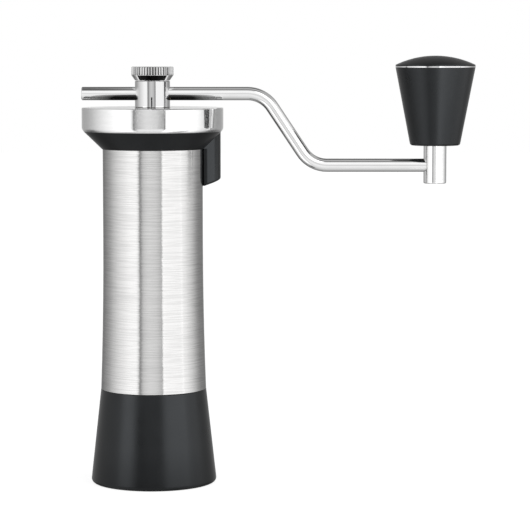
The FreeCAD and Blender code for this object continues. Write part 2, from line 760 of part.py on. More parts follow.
def hopper_collar():
    """Conical collar over the tube's top, with a spigot for the lid, a funnel and a thumb rest."""
    body = new_body("hopper_collar")
    outline = new_sketch(body, "Outline", "XZ_Plane")
    groove_foot = f"({SEAL_LEVEL} - seal_radius - slip_fit)"
    groove_top = f"({SEAL_LEVEL} + seal_radius + slip_fit)"
    groove_floor = f"({COLLAR_SPIGOT} - seal_groove_depth)"
    draw(outline, [
        ("0", COLLAR_FOOT),
        (COLLAR_FOOT_RADIUS, COLLAR_FOOT),
        (COLLAR_RIM, LID_SEAT),
        (COLLAR_SPIGOT, LID_SEAT),
        (COLLAR_SPIGOT, groove_foot),
        (groove_floor, groove_foot),
        (groove_floor, groove_top),
        (COLLAR_SPIGOT, groove_top),
        (COLLAR_SPIGOT, COLLAR_TOP),
        ("0", COLLAR_TOP),
    ])
    cone = body.newObject("PartDesign::Revolution", "Cone")
    cone.Profile = outline
    cone.ReferenceAxis = (outline, ["V_Axis"])
    cone.Angle = 360

    side = new_sketch(body, "ThumbRestSide", "XZ_Plane")
    side.AttachmentOffset = Placement(Vector(0, 0, 0), Rotation(Vector(0, 1, 0), 0))
    side.setExpression("AttachmentOffset.Rotation.Angle", bound("thumb_rest_azimuth"))
    rest_foot = f"({LID_SEAT} - thumb_rest_drop)"
    draw(side, [
        (f"{WAIST} / 2", rest_foot),
        (WAIST, rest_foot),
        (LID_RADIUS, f"{rest_foot} + thumb_rest_rise"),
        (LID_RADIUS, LID_SEAT),
        (f"{WAIST} / 2", LID_SEAT),
    ])
    rib = body.newObject("PartDesign::Pad", "ThumbRest")
    rib.Profile = side
    rib.SideType = "Symmetric"
    bind(rib, Length="thumb_rest_width")
    doc.recompute()

    reach = number(LID_RADIUS)
    rest_turn = Rotation(Vector(0, 0, 1), -number("thumb_rest_azimuth"))
    nose = body.newObject("PartDesign::Fillet", "Nose")
    outer_edges = edge_names(rib.Shape, lambda point: abs(rest_turn.multVec(point).x - reach) < 0.01)
    upright = [
        name for name in outer_edges
        if abs(rib.Shape.getElement(name).tangentAt(0).z) > 0.9
    ]
    nose.Base = (rib, upright)
    bind(nose, Radius="thumb_rest_width / 2 - thumb_rest_flat")
    doc.recompute()

    low = number(f"{rest_foot} + thumb_rest_rise") + 0.01
    soft = body.newObject("PartDesign::Fillet", "SoftUnderside")
    waist = number(WAIST)
    under = edge_names(
        nose.Shape,
        lambda point: point.z < low and math.hypot(point.x, point.y) > waist,
    )
    soft.Base = (nose, under)
    bind(soft, Radius="thumb_rest_round")

    inside = new_sketch(body, "Inside", "XZ_Plane")
    draw(inside, [
        ("0", f"{rest_foot} - thumb_rest_rise"),
        (f"{WAIST} + slip_fit", f"{rest_foot} - thumb_rest_rise"),
        (f"{WAIST} + slip_fit", TUBE_TOP),
        (HOPPER_BORE, TUBE_TOP),
        (f"{COLLAR_SPIGOT} - collar_spigot_wall", f"{COLLAR_TOP} + face_gap"),
        ("0", f"{COLLAR_TOP} + face_gap"),
    ])
    funnel = body.newObject("PartDesign::Groove", "Funnel")
    funnel.Profile = inside
    funnel.ReferenceAxis = (inside, ["V_Axis"])
    funnel.Angle = 360

    for name, flank in (("FrontHeel", "-"), ("BackHeel", "")):
        heel = new_sketch(body, name, "XY_Plane")
        heel.AttachmentOffset = Placement(Vector(0, 0, 0), Rotation(Vector(0, 0, 1), 0))
        heel.setExpression("AttachmentOffset.Rotation.Angle", bound("thumb_rest_azimuth"))
        heel.setExpression("AttachmentOffset.Base.z", bound(COLLAR_FOOT))
        draw(heel, heel_corners(flank))
        clearing = body.newObject("PartDesign::Pocket", f"{name}Round")
        clearing.Profile = heel
        bind(clearing, Length="thumb_rest_drop")
    return body


def lid_seal():
    """Soft ring in the collar's groove."""
    item = doc.addObject("Part::Torus", "Seal")
    bind(item, Radius1=f"{COLLAR_SPIGOT} - seal_groove_depth + seal_radius + slip_fit")
    bind(item, Radius2="seal_radius")
    place(item, z=SEAL_LEVEL)
    item.Label = "lid_seal"
    return item


# Bearing carriers

def windowed(body, hub, ring_bore, base_level):
    """Cut windows through a carrier's web, which leaves its arms."""
    sketch = new_sketch(body, "Window", "XY_Plane")
    bind(sketch, **{"AttachmentOffset.Base.z": base_level})
    edges = [
        "spider_arm_azimuth + spider_arm_angle / 2",
        "spider_arm_azimuth + 360 / spider_arm_count - spider_arm_angle / 2",
    ]
    limits = [math.radians(number(text)) for text in edges]
    arcs = []
    for text in (hub, ring_bore):
        circle = Part.Circle(Vector(0, 0, 0), Vector(0, 0, 1), number(text))
        arc = sketch.addGeometry(Part.ArcOfCircle(circle, *limits), False)
        sketch.addConstraint(Sketcher.Constraint("Coincident", arc, 3, -1, 1))
        hold_radius(sketch, arc, text)
        arcs.append(arc)
    for end, angle, text in zip((1, 2), limits, edges):
        course = Vector(math.cos(angle), math.sin(angle), 0)
        line = Part.LineSegment(course * number(hub), course * number(ring_bore))
        side = sketch.addGeometry(line, False)
        sketch.addConstraint(Sketcher.Constraint("Coincident", side, 1, arcs[0], end))
        sketch.addConstraint(Sketcher.Constraint("Coincident", side, 2, arcs[1], end))
        sketch.addConstraint(Sketcher.Constraint("PointOnObject", -1, 1, side))
        index = sketch.addConstraint(Sketcher.Constraint("Angle", -1, 1, side, 1, angle))
        sketch.setExpression(f"Constraints[{index}]", bound(text))
    pocket = body.newObject("PartDesign::Pocket", "Window")
    pocket.Profile = sketch
    pocket.Type = "ThroughAll"
    pocket.SideType = "Symmetric"
    pattern = body.newObject("PartDesign::PolarPattern", "Windows")
    pattern.Originals = [pocket]
    pattern.Axis = (sketch, ["N_Axis"])
    pattern.Angle = 360
    bind(pattern, Occurrences="spider_arm_count")
    body.Tip = pattern
    return body


def upper_spider():
    """Carrier of the dial and the bearing sleeve, with holes for screws, key and detent."""
    ring_bore = f"({UPPER_RING} - spider_ring_wall)"
    web_top = f"({UPPER_HUB_FOOT} + upper_spider_web)"
    ring_top = f"({TUBE_TOP} - upper_ring_drop)"
    blank = turned("upper_spider_blank", [
        (SLEEVE_GUIDE, UPPER_HUB_FOOT),
        (UPPER_RING, UPPER_HUB_FOOT),
        (UPPER_RING, ring_top),
        (ring_bore, ring_top),
        (ring_bore, web_top),
        (UPPER_HUB, web_top),
        (UPPER_HUB, UPPER_HUB_TOP),
        (SLEEVE_GUIDE, UPPER_HUB_TOP),
    ])
    windowed(blank, UPPER_HUB, ring_bore, UPPER_HUB_FOOT)
    shank = "spider_screw_radius + slip_fit"
    inside = f"{UPPER_RING} - spider_ring_wall * 2"
    tools = []
    for azimuth in spider_arm_azimuths():
        tools.append(radial_rod(shank, inside, WAIST, SPIDER_SCREW_LEVEL, azimuth))
    key = "key_radius + slip_fit"
    tools.append(radial_rod(key, BEARING_SEAT, f"{UPPER_HUB} + key_radius", KEY_LEVEL, 0.0))
    along_x, along_y = heading(number("detent_azimuth"))
    tools.append(rod(
        "detent_ball_radius + running_fit",
        f"({UPPER_HUB_TOP} - detent_pocket_depth)",
        f"({UPPER_HUB_TOP} + detent_ball_radius)",
        f"{along_x} * {DETENT_PITCH}",
        f"{along_y} * {DETENT_PITCH}",
    ))
    return cut("upper_spider", blank, tools)


def lower_spider():
    """Carrier of the lower bearing, clamped between the tube's shoulder and the outer burr."""
    ring_bore = f"({LOWER_RING} - spider_ring_wall)"
    web_top = f"({OUTER_BURR_TOP} + lower_spider_web)"
    clip_foot = f"({OUTER_BURR_TOP} + face_gap)"
    clip_groove = f"({BEARING_SEAT} + clip_depth + slip_fit)"
    blank = turned("lower_spider", [
        (BEARING_SEAT, OUTER_BURR_TOP),
        (LOWER_RING, OUTER_BURR_TOP),
        (LOWER_RING, TUBE_SHOULDER),
        (ring_bore, TUBE_SHOULDER),
        (ring_bore, web_top),
        (LOWER_HUB, web_top),
        (LOWER_HUB, TUBE_SHOULDER),
        (LIP_BORE, TUBE_SHOULDER),
        (LIP_BORE, LOWER_BEARING_TOP),
        (BEARING_SEAT, LOWER_BEARING_TOP),
        (BEARING_SEAT, LOWER_BEARING_FOOT),
        (clip_groove, LOWER_BEARING_FOOT),
        (clip_groove, clip_foot),
        (BEARING_SEAT, clip_foot),
    ])
    return windowed(blank, LOWER_HUB, ring_bore, OUTER_BURR_TOP)


# Ball bearings

def race(label, back, face, foot, top):
    """Bearing ring from its back to its face, which has a round track for the balls."""
    half_track = "sqrt((ball_radius + running_fit) ^ 2 - race_gap ^ 2)"
    level = f"(({foot} + {top}) / 2)"
    return turned(label, [
        (back, foot),
        (face, foot),
        (face, f"{level} - {half_track}", "arc", BALL_PITCH),
        (face, f"{level} + {half_track}"),
        (face, top),
        (back, top),
    ])


def bearing_nodes(prefix, foot):
    """Outer race, inner race, balls and cage of one ball bearing."""
    top = f"({foot} + bearing_width)"
    level = f"({foot} + bearing_width / 2)"
    outer = race(f"{prefix}_bearing_outer_race", "bearing_radius", f"({BALL_PITCH} + race_gap)", foot, top)
    inner = race(f"{prefix}_bearing_inner_race", BEARING_BORE, f"({BALL_PITCH} - race_gap)", foot, top)
    balls = []
    pockets = []
    for azimuth in azimuths("ball_count"):
        along_x, along_y = heading(azimuth)
        ball = doc.addObject("Part::Sphere", "Ball")
        bind(ball, Radius="ball_radius")
        place(ball, f"{along_x} * {BALL_PITCH}", f"{along_y} * {BALL_PITCH}", level)
        balls.append(ball)
        inside = f"{BALL_PITCH} - ball_radius"
        outside = f"{BALL_PITCH} + ball_radius"
        pockets.append(radial_rod("ball_radius + running_fit", inside, outside, level, azimuth))
    cage_blank = ring(
        f"{prefix}_cage_blank",
        f"{BALL_PITCH} + cage_half_wall",
        f"{BALL_PITCH} - cage_half_wall",
        f"({level} - cage_height / 2)",
        f"({level} + cage_height / 2)",
    )
    cage = cut(f"{prefix}_bearing_cage", cage_blank, pockets)
    return [outer, inner, compound(f"{prefix}_bearing_balls", balls), cage]


def lower_bearing_circlip():
    """Clip under the lower bearing."""
    outer = f"({BEARING_SEAT} + clip_depth)"
    foot = f"({OUTER_BURR_TOP} + face_gap * 1.5)"
    return circlip("lower_bearing_circlip", "bearing_radius - clip_reach", outer, foot)


# Grind setting

def bearing_sleeve():
    """Sleeve that carries the upper bearing, with a keyway that stops it turning."""
    clip_groove = f"({BEARING_SEAT} + clip_depth + slip_fit)"
    clip_top = f"({UPPER_BEARING_TOP} + clip_thickness + face_gap)"
    sleeve_top = f"({DIAL_TOP} + sleeve_proud)"
    blank = turned("sleeve_blank", [
        (LIP_BORE, SLEEVE_FOOT),
        (SLEEVE_RADIUS, SLEEVE_FOOT),
        (SLEEVE_RADIUS, sleeve_top),
        (BEARING_SEAT, sleeve_top),
        (BEARING_SEAT, clip_top),
        (clip_groove, clip_top),
        (clip_groove, UPPER_BEARING_TOP),
        (BEARING_SEAT, UPPER_BEARING_TOP),
        (BEARING_SEAT, UPPER_BEARING_FOOT),
        (LIP_BORE, UPPER_BEARING_FOOT),
    ])
    keyway = block(
        "sleeve_wall + key_radius",
        "(key_radius + running_fit) * 2",
        f"({SLEEVE_FOOT} - key_radius)",
        f"({KEY_LEVEL} + key_radius + keyway_room)",
        f"{SLEEVE_RADIUS} - key_reach - running_fit",
    )
    return cut("bearing_sleeve", blank, [keyway])


def key_pin():
    """Pin through the upper carrier's hub into the sleeve's keyway."""
    item = radial_rod("key_radius", f"{SLEEVE_RADIUS} - key_reach", UPPER_HUB, KEY_LEVEL, 0.0)
    item.Label = "key_pin"
    return item


def sleeve_circlip():
    """Clip above the upper bearing's outer race."""
    outer = f"({BEARING_SEAT} + clip_depth)"
    foot = f"({UPPER_BEARING_TOP} + face_gap / 2)"
    return circlip("sleeve_circlip", "bearing_radius - clip_reach", outer, foot)


def adjusting_dial():
    """Dial on the upper carrier's hub, with a gripped rim and engraved ticks."""
    blank = turned("dial_blank", [
        (SLEEVE_GUIDE, DIAL_FOOT),
        (DIAL_RADIUS, DIAL_FOOT),
        (DIAL_RADIUS, f"{DIAL_TOP} - dial_edge"),
        (f"{DIAL_RADIUS} - dial_edge", DIAL_TOP),
        (SLEEVE_GUIDE, DIAL_TOP),
    ])
    tools = []
    for azimuth in azimuths("dial_notch_count"):
        along_x, along_y = heading(azimuth)
        centre = f"({DIAL_RADIUS} + dial_notch_radius / 3)"
        tools.append(rod(
            "dial_notch_radius",
            f"({DIAL_FOOT} - dial_edge)",
            f"({DIAL_TOP} + dial_edge)",
            f"{along_x} * {centre}",
            f"{along_y} * {centre}",
        ))
    for azimuth in azimuths("dial_tick_count"):
        along_x, along_y = heading(azimuth)
        inner = f"({DIAL_RADIUS} - dial_notch_radius * 2 - dial_tick_length)"
        tick = doc.addObject("Part::Box", "Tick")
        bind(tick, Length="dial_tick_length", Width="dial_tick_width", Height="dial_tick_depth * 2")
        place(
            tick,
            f"{along_x} * {inner} + {along_y} * dial_tick_width / 2",
            f"{along_y} * {inner} - {along_x} * dial_tick_width / 2",
            f"{DIAL_TOP} - dial_tick_depth",
            Vector(0, 0, 1),
            azimuth,
        )
        tools.append(tick)
    return cut("adjusting_dial", blank, tools)


def detent_ball():
    """Ball in the carrier's pocket, just under the dial."""
    along_x, along_y = heading(number("detent_azimuth"))
    item = doc.addObject("Part::Sphere", "DetentBall")
    bind(item, Radius="detent_ball_radius")
    place(
        item,
        f"{along_x} * {DETENT_PITCH}",
        f"{along_y} * {DETENT_PITCH}",
        f"{UPPER_HUB_TOP} - detent_ball_radius",
    )
    item.Label = "detent_ball"
    return item


def detent_spring():
    """Small coil spring under the detent ball."""
    along_x, along_y = heading(number("detent_azimuth"))
    return coil(
        "detent_spring",
        "detent_ball_radius - detent_wire_radius",
        "detent_wire_radius",
        f"({UPPER_HUB_TOP} - detent_pocket_depth)",
        f"({UPPER_HUB_TOP} - detent_ball_radius * 2 + detent_wire_radius)",
        "detent_turns",
        f"{along_x} * {DETENT_PITCH}",
        f"{along_y} * {DETENT_PITCH}",
    )


# Burr set and shaft

def teeth_radius(height):
    """Tip radius of the inner burr's fine teeth at a height."""
    share = f"(({height} - {INNER_BURR_FOOT}) / inner_teeth_height)"
    return f"(inner_burr_radius - inner_teeth_slope * {share})"


def inner_burr():
    """Toothed cone: fine teeth below, a coarse crown that draws the beans in above."""
    count = int(number("inner_tooth_count"))
    depth = number("inner_tooth_depth")
    foot = number(INNER_BURR_FOOT)
    top = number(INNER_BURR_TOP)
    teeth_top = number(TEETH_TOP)
    wide = number("inner_burr_radius")
    narrow = number(teeth_radius(TEETH_TOP))
    fine = toothed("fine_teeth", [
        star(count, wide, wide - depth, foot, 0.0),
        star(count, narrow, narrow - depth, teeth_top, number("inner_teeth_twist")),
    ])
    ratio = number("crown_root_ratio")
    crown_count = int(number("crown_tooth_count"))
    crown_tip = number("crown_radius")
    crown_foot = teeth_top - depth
    crown = toothed("coarse_crown", [
        star(crown_count, narrow - depth, (narrow - depth) * ratio, crown_foot, 0.0),
        star(crown_count, crown_tip, crown_tip * ratio, top, number("crown_twist")),
    ])
    cone = fused("burr_cone", [fine, crown])
    bore = rod(BEARING_BORE, f"({INNER_BURR_FOOT} - face_gap)", f"({INNER_BURR_TOP} + face_gap)")
    slot = block(
        "inner_burr_radius * 2",
        "(drive_pin_radius + slip_fit) * 2",
        f"({INNER_BURR_TOP} - burr_slot_depth)",
        f"({INNER_BURR_TOP} + face_gap)",
        "-inner_burr_radius",
    )
    return cut("inner_burr", cone, [bore, slot])


def outer_burr():
    """Toothed ring: its opening narrows to the throat and then follows the inner burr."""
    count = int(number("outer_tooth_count"))
    depth = number("outer_tooth_depth")
    twist = number("outer_teeth_twist")
    exit_radius = number(f"{teeth_radius(RETAINER_TOP)} + burr_gap")
    throat = number(f"{teeth_radius(TEETH_TOP)} + burr_gap + burr_throat")
    entry = number("inner_burr_radius + outer_burr_entry")
    below = number(f"{RETAINER_TOP} - face_gap")
    above = number(f"{OUTER_BURR_TOP} + face_gap")
    throat_level = number(TEETH_TOP)
    blank = rod(LOWER_RING, RETAINER_TOP, OUTER_BURR_TOP)
    grinding = toothed("grinding_teeth", [
        star(count, exit_radius, exit_radius + depth, below, 0.0),
        star(count, throat, throat + depth, throat_level, -twist),
    ])
    feeding = toothed("feeding_teeth", [
        star(count, throat, throat + depth, throat_level, -twist),
        star(count, entry, entry + depth, above, -2 * twist),
    ])
    return cut("outer_burr", blank, [grinding, feeding])


def retaining_ring():
    """Threaded ring under the outer burr, whose spigot centres the cup and holds magnets."""
    spigot_foot = "(cup_height - spigot_length)"
    blank = turned("retainer_blank", [
        (RETAINER_BORE, spigot_foot),
        (SPIGOT, spigot_foot),
        (SPIGOT, "cup_height"),
        (LOWER_RING, "cup_height"),
        (LOWER_RING, RETAINER_TOP),
        (RETAINER_BORE, RETAINER_TOP),
    ])
    pockets = magnet_rods("magnet_radius + slip_fit", f"{spigot_foot} - magnet_height")
    return cut("retaining_ring", blank, pockets)


def magnet_rods(radius, foot):
    """Upright rods at the places of the magnets, up to the tops of the magnets."""
    pitch = f"(({SPIGOT} + {RETAINER_BORE}) / 2)"
    top = "(cup_height - spigot_length + magnet_height)"
    rods = []
    for azimuth in azimuths("magnet_count"):
        along_x, along_y = heading(azimuth)
        rods.append(rod(radius, f"({foot})", top, f"{along_x} * {pitch}", f"{along_y} * {pitch}"))
    return rods


def cup_magnets():
    """Magnets flush with the spigot's lower face."""
    return compound("cup_magnets", magnet_rods("magnet_radius", "cup_height - spigot_length"))


def drive_shaft():
    """Stepped shaft with a hexagonal top, a clip groove, a cross hole and a screw hole."""
    foot = f"({INNER_BURR_FOOT} + shaft_foot_rise)"
    step = f"({TUBE_SHOULDER} + shaft_step_rise)"
    groove_foot = UPPER_BEARING_TOP
    groove_top = f"({UPPER_BEARING_TOP} + clip_thickness + face_gap)"
    journal_top = f"({UPPER_BEARING_TOP} + journal_reach)"
    turned_part = turned("shaft_blank", [
        ("0", foot),
        ("journal_radius", foot),
        ("journal_radius", step),
        ("shaft_radius", step),
        ("shaft_radius", UPPER_BEARING_FOOT),
        ("journal_radius", UPPER_BEARING_FOOT),
        ("journal_radius", groove_foot),
        ("journal_radius - clip_depth", groove_foot),
        ("journal_radius - clip_depth", groove_top),
        ("journal_radius", groove_top),
        ("journal_radius", journal_top),
        ("0", journal_top),
    ])
    drive_end = hexagon("hex_radius", journal_top, SHAFT_TOP)
    blank = fused("shaft_with_hexagon", [turned_part, drive_end])
    screw_hole = rod(
        "burr_screw_radius + slip_fit",
        f"({foot} - face_gap)",
        f"({INNER_BURR_FOOT} - burr_washer_thickness + burr_screw_length + face_gap)",
    )
    pin_hole = cross_pin("drive_pin_radius + slip_fit", "shaft_radius")
    return cut("drive_shaft", blank, [screw_hole, pin_hole])


def cross_pin(radius, half_length):
    """Level rod along X through the shaft, at the slot of the inner burr."""
    item = doc.addObject("Part::Cylinder", "CrossPin")
    bind(item, Radius=radius, Height=f"({half_length}) * 2")
    level = f"{INNER_BURR_TOP} - burr_slot_depth + drive_pin_radius + slip_fit"
    place(item, f"-({half_length})", "0", level, Vector(0, 1, 0), 90.0)
    return item


def drive_pin():
    """Pin that turns the inner burr."""
    item = cross_pin("drive_pin_radius", "crown_radius - drive_pin_inset")
    item.Label = "drive_pin"
    return item


def burr_washer():
    """Washer under the inner burr."""
    bore = "burr_screw_radius + slip_fit"
    foot = f"({INNER_BURR_FOOT} - burr_washer_thickness)"
    return ring("burr_washer", "burr_washer_radius", bore, foot, INNER_BURR_FOOT)


def socket_screw(label, radius, length, head_radius, head_height, seat, upward, x="0"):
    """Socket head screw whose head sits on a seat and whose shank points up or down."""
    if upward:
        head = (f"({seat} - {head_height})", seat)
        shank = (seat, f"({seat} + {length})")
        socket = (f"({head[0]} - face_gap)", f"({head[0]} + screw_socket_depth)")
    else:
        head = (seat, f"({seat} + {head_height})")
        shank = (f"({seat} - {length})", seat)
        socket = (f"({head[1]} - screw_socket_depth)", f"({head[1]} + face_gap)")
    solid = fused(f"{label}_blank", [rod(radius, *shank, x), rod(head_radius, *head, x)])
    return cut(label, solid, [hexagon("screw_socket_radius", *socket, x)])


def burr_screw():
    """Screw that holds the washer and the inner burr against the drive pin."""
    return socket_screw(
        "burr_screw", "burr_screw_radius", "burr_screw_length", "burr_screw_head_radius",
        "burr_screw_head_height", f"({INNER_BURR_FOOT} - burr_washer_thickness)", True)


def shaft_circlip():
    """Clip on the shaft above the upper bearing's inner race."""
    bore = "journal_radius - clip_depth + slip_fit"
    foot = f"({UPPER_BEARING_TOP} + face_gap / 2)"
    return circlip("shaft_circlip", bore, "journal_radius + clip_reach", foot)


def preload_spring():
    """Coil spring between the lower bearing's inner race and the inner burr."""
    return coil(
        "preload_spring",
        "journal_radius + spring_side_gap + spring_wire_radius",
        "spring_wire_radius",
        f"({INNER_BURR_TOP} + spring_end_gap)",
        f"({LOWER_BEARING_FOOT} - spring_end_gap)",
        "spring_turns",
    )


# Lid and crank hub

def lid():
    """Hollow cap whose lower edge curves in to the collar's rim, with a recess on top."""
    return turned("lid", [
        (LID_BOSS_BORE, LID_BOSS_FOOT),
        (LID_BOSS, LID_BOSS_FOOT),
        (LID_BOSS, LID_CEILING),
        (LID_BORE, LID_CEILING),
        (LID_BORE, LID_SEAT),
        (COLLAR_RIM, LID_SEAT, "arc", "upright"),
        (LID_RADIUS, f"{LID_SEAT} + lid_tuck_height"),
        (LID_RADIUS, LID_TOP, "round", "lid_edge_round"),
        (INLAY_SEAT, LID_TOP),
        (INLAY_SEAT, INLAY_FOOT),
        (LID_BOSS_BORE, INLAY_FOOT),
    ])


def lid_inlay():
    """Black disc that lies flush in the lid's top, round the bush."""
    return ring("lid_inlay", f"{INLAY_SEAT} - slip_fit", LID_BOSS_BORE, INLAY_FOOT, LID_TOP)


def lid_bush():
    """Bush in the lid's boss, in which the hub's neck turns."""
    return ring("lid_bush", LID_BUSH_RADIUS, LID_BUSH_BORE, LID_BOSS_FOOT, LID_TOP)


def hub_thrust_washer():
    """Washer between the lid's boss and the hub's clip."""
    outer = f"{LID_BUSH_BORE} + hub_washer_width"
    return ring("hub_thrust_washer", outer, LID_BUSH_BORE, HUB_CLIP_TOP, HUB_WASHER_TOP)


def hub_circlip():
    """Clip on the hub's neck that keeps the lid on."""
    foot = f"({HUB_CLIP_TOP} - clip_thickness)"
    return circlip("hub_circlip", f"{HUB_GROOVE} + slip_fit", f"{HUB_NECK} + clip_reach", foot)


def crank_hub():
    """Hub with a neck on the shaft's hexagon, a slit in front, a cross bore and a screw bore."""
    groove_foot = f"({HUB_CLIP_TOP} - clip_thickness - slip_fit)"
    blank = turned("hub_blank", [
        ("0", HUB_TIP),
        (HUB_NECK, HUB_TIP),
        (HUB_NECK, groove_foot),
        (HUB_GROOVE, groove_foot),
        (HUB_GROOVE, HUB_CLIP_TOP),
        (HUB_NECK, HUB_CLIP_TOP),
        (HUB_NECK, HUB_FOOT),
        (HUB_RADIUS, HUB_FOOT),
        (HUB_RADIUS, f"{HUB_TOP} - hub_edge"),
        (f"{HUB_RADIUS} - hub_edge", HUB_TOP),
        ("0", HUB_TOP),
    ])
    socket = hexagon(HEX_SOCKET, f"({HUB_TIP} - face_gap)", f"({SHAFT_TOP} + hex_room)")
    arm_bore = doc.addObject("Part::Cylinder", "ArmBore")
    bind(arm_bore, Radius="arm_radius + running_fit", Height=f"{HUB_RADIUS} * 4")
    place(arm_bore, f"-{HUB_RADIUS} * 2", "0", ARM_LEVEL, Vector(0, 1, 0), 90.0)
    screw_bore = rod("thumb_screw_radius + running_fit", ARM_LEVEL, f"({HUB_TOP} + face_gap)")
    slit = doc.addObject("Part::Box", "Slit")
    slit_height = f"{HUB_FOOT} + hub_slit_rise - {HUB_TIP} + face_gap"
    bind(slit, Length="hub_slit_width", Width=f"{HUB_RADIUS} * 2", Height=slit_height)
    place(slit, "-hub_slit_width / 2", f"-{HUB_RADIUS} * 2", f"{HUB_TIP} - face_gap")
    return cut("crank_hub", blank, [socket, arm_bore, screw_bore, slit])


# Crank arm, thumb screw and knob

def crank_arm():
    """Round rod with two bends, from the lid's edge on one side to the knob's post."""
    body = new_body("crank_arm")
    path = new_sketch(body, "Path", "XZ_Plane")
    arm_end = "arm_reach - post_radius + arm_socket_depth"
    draw(path, [
        (f"-{LID_RADIUS}", ARM_LEVEL),
        ("arm_bend_at", ARM_LEVEL, "round", "arm_bend_radius"),
        ("arm_bend_at + arm_bend_run", LOW_ARM_LEVEL, "round", "arm_bend_radius"),
        (arm_end, LOW_ARM_LEVEL),
    ], closed=False)
    section = new_sketch(body, "Section", "YZ_Plane")
    section.setExpression("AttachmentOffset.Base.z", bound(f"-{LID_RADIUS}"))
    circle = Part.Circle(Vector(0, number(ARM_LEVEL), 0), Vector(0, 0, 1), number("arm_radius"))
    geometry = section.addGeometry(circle, False)
    hold_point(section, geometry, 3, "0", ARM_LEVEL)
    hold_radius(section, geometry, "arm_radius")
    doc.recompute()
    pipe = body.newObject("PartDesign::AdditivePipe", "Rod")
    pipe.Profile = section
    pipe.Spine = (path, [f"Edge{index}" for index in range(1, len(path.Shape.Edges) + 1)])
    doc.recompute()
    free_end = number(f"-{LID_RADIUS}") + number("arm_end_edge")
    edge = body.newObject("PartDesign::Chamfer", "FreeEnd")
    edge.Base = (pipe, [
        f"Edge{index}" for index, item in enumerate(pipe.Shape.Edges, start=1)
        if item.BoundBox.XMax < free_end
    ])
    bind(edge, Size="arm_end_edge")
    return body


def thumb_screw():
    """Screw with a knurled head on a short cone, which clamps the arm in the hub."""
    shank_foot = f"({PAD_TOP} + pad_gap)"
    blank = turned("thumb_screw_blank", [
        ("0", shank_foot),
        ("thumb_screw_radius", shank_foot),
        ("thumb_screw_radius", THUMB_SCREW_FOOT),
        (HUB_RADIUS, THUMB_SCREW_FOOT),
        ("knurl_radius", f"{KNURL_FOOT} - thumb_screw_collar"),
        ("knurl_radius", f"{KNURL_TOP} - knurl_edge"),
        ("knurl_radius - knurl_edge", KNURL_TOP),
        ("0", KNURL_TOP),
    ])
    grooves = []
    for azimuth in azimuths("knurl_count"):
        along_x, along_y = heading(azimuth)
        groove = doc.addObject("Part::Prism", "Groove")
        groove.Polygon = 4
        bind(groove, Circumradius="knurl_depth", Height=f"{KNURL_TOP} - {KNURL_FOOT} + knurl_edge")
        place(
            groove,
            f"{along_x} * knurl_radius",
            f"{along_y} * knurl_radius",
            KNURL_FOOT,
            Vector(0, 0, 1),
            azimuth,
        )
        grooves.append(groove)
    return cut("thumb_screw", blank, grooves)


def clamp_pad():
    """Pad between the thumb screw's tip and the arm."""
    item = rod("thumb_screw_radius", PAD_FOOT, PAD_TOP)
    item.Label = "clamp_pad"
    return item


def knob_post():
    """Post at the arm's end, with the knob's axle and a tapped hole on top of it."""
    blank = turned("post_blank", [
        ("0", POST_FOOT),
        ("post_radius", POST_FOOT, "round", "post_edge"),
        ("post_radius", POST_TOP),
        ("axle_radius", POST_TOP),
        ("axle_radius", AXLE_TOP),
        ("0", AXLE_TOP),
    ], "arm_reach")
    socket = doc.addObject("Part::Cylinder", "ArmSocket")
    bind(socket, Radius="arm_radius + slip_fit", Height="post_radius + arm_socket_depth")
    place(socket, "arm_reach - post_radius * 2", "0", LOW_ARM_LEVEL, Vector(0, 1, 0), 90.0)
    tapped = rod(
        "knob_screw_radius + slip_fit",
        f"({KNOB_WASHER_TOP} - knob_screw_length - face_gap)",
        f"({AXLE_TOP} + face_gap)",
        "arm_reach",
    )
    return cut("knob_post", blank, [socket, tapped])


def knob_body():
    """Tapered hollow knob with a boss for its bushes."""
    floor = f"({KNOB_FOOT} + knob_floor)"
    wall_at_floor = "(knob_foot_radius + knob_flare * knob_floor / knob_height - knob_wall)"
    return turned("knob_body", [
        (KNOB_BORE, KNOB_FOOT),
        ("knob_foot_radius", KNOB_FOOT, "round", "knob_foot_round"),
        (KNOB_TOP_RADIUS, KNOB_RIM),
        (KNOB_MOUTH, KNOB_RIM),
        (KNOB_MOUTH, f"{KNOB_RIM} - cap_skirt_depth - face_gap"),
        (wall_at_floor, floor),
        (KNOB_BOSS, floor),
        (KNOB_BOSS, KNOB_BOSS_TOP),
        (KNOB_BORE, KNOB_BOSS_TOP),
    ], "arm_reach")


def knob_bushes():
    """Bushes at both ends of the knob's boss."""
    lower_top = f"({KNOB_FOOT} + knob_bush_length)"
    upper_foot = f"({KNOB_BOSS_TOP} - knob_bush_length)"
    radii = (KNOB_BUSH_RADIUS, KNOB_BUSH_BORE)
    return [
        ring("knob_lower_bush", *radii, KNOB_FOOT, lower_top, "arm_reach"),
        ring("knob_upper_bush", *radii, upper_foot, KNOB_BOSS_TOP, "arm_reach"),
    ]


def knob_washer():
    """Washer on the axle that keeps the knob on."""
    bore = "knob_screw_radius + slip_fit"
    return ring("knob_washer", KNOB_BOSS, bore, AXLE_TOP, KNOB_WASHER_TOP, "arm_reach")


def knob_screw():
    """Screw in the end of the axle."""
    return socket_screw(
        "knob_screw", "knob_screw_radius", "knob_screw_length", "knob_screw_head_radius",
        "knob_screw_head_height", KNOB_WASHER_TOP, False, "arm_reach")


def knob_trim_ring():
    """Thin bright ring between knob and cap."""
    outer = f"{KNOB_TOP_RADIUS} + trim_proud"
    return ring("knob_trim_ring", outer, KNOB_MOUTH, KNOB_RIM, CAP_FOOT, "arm_reach")


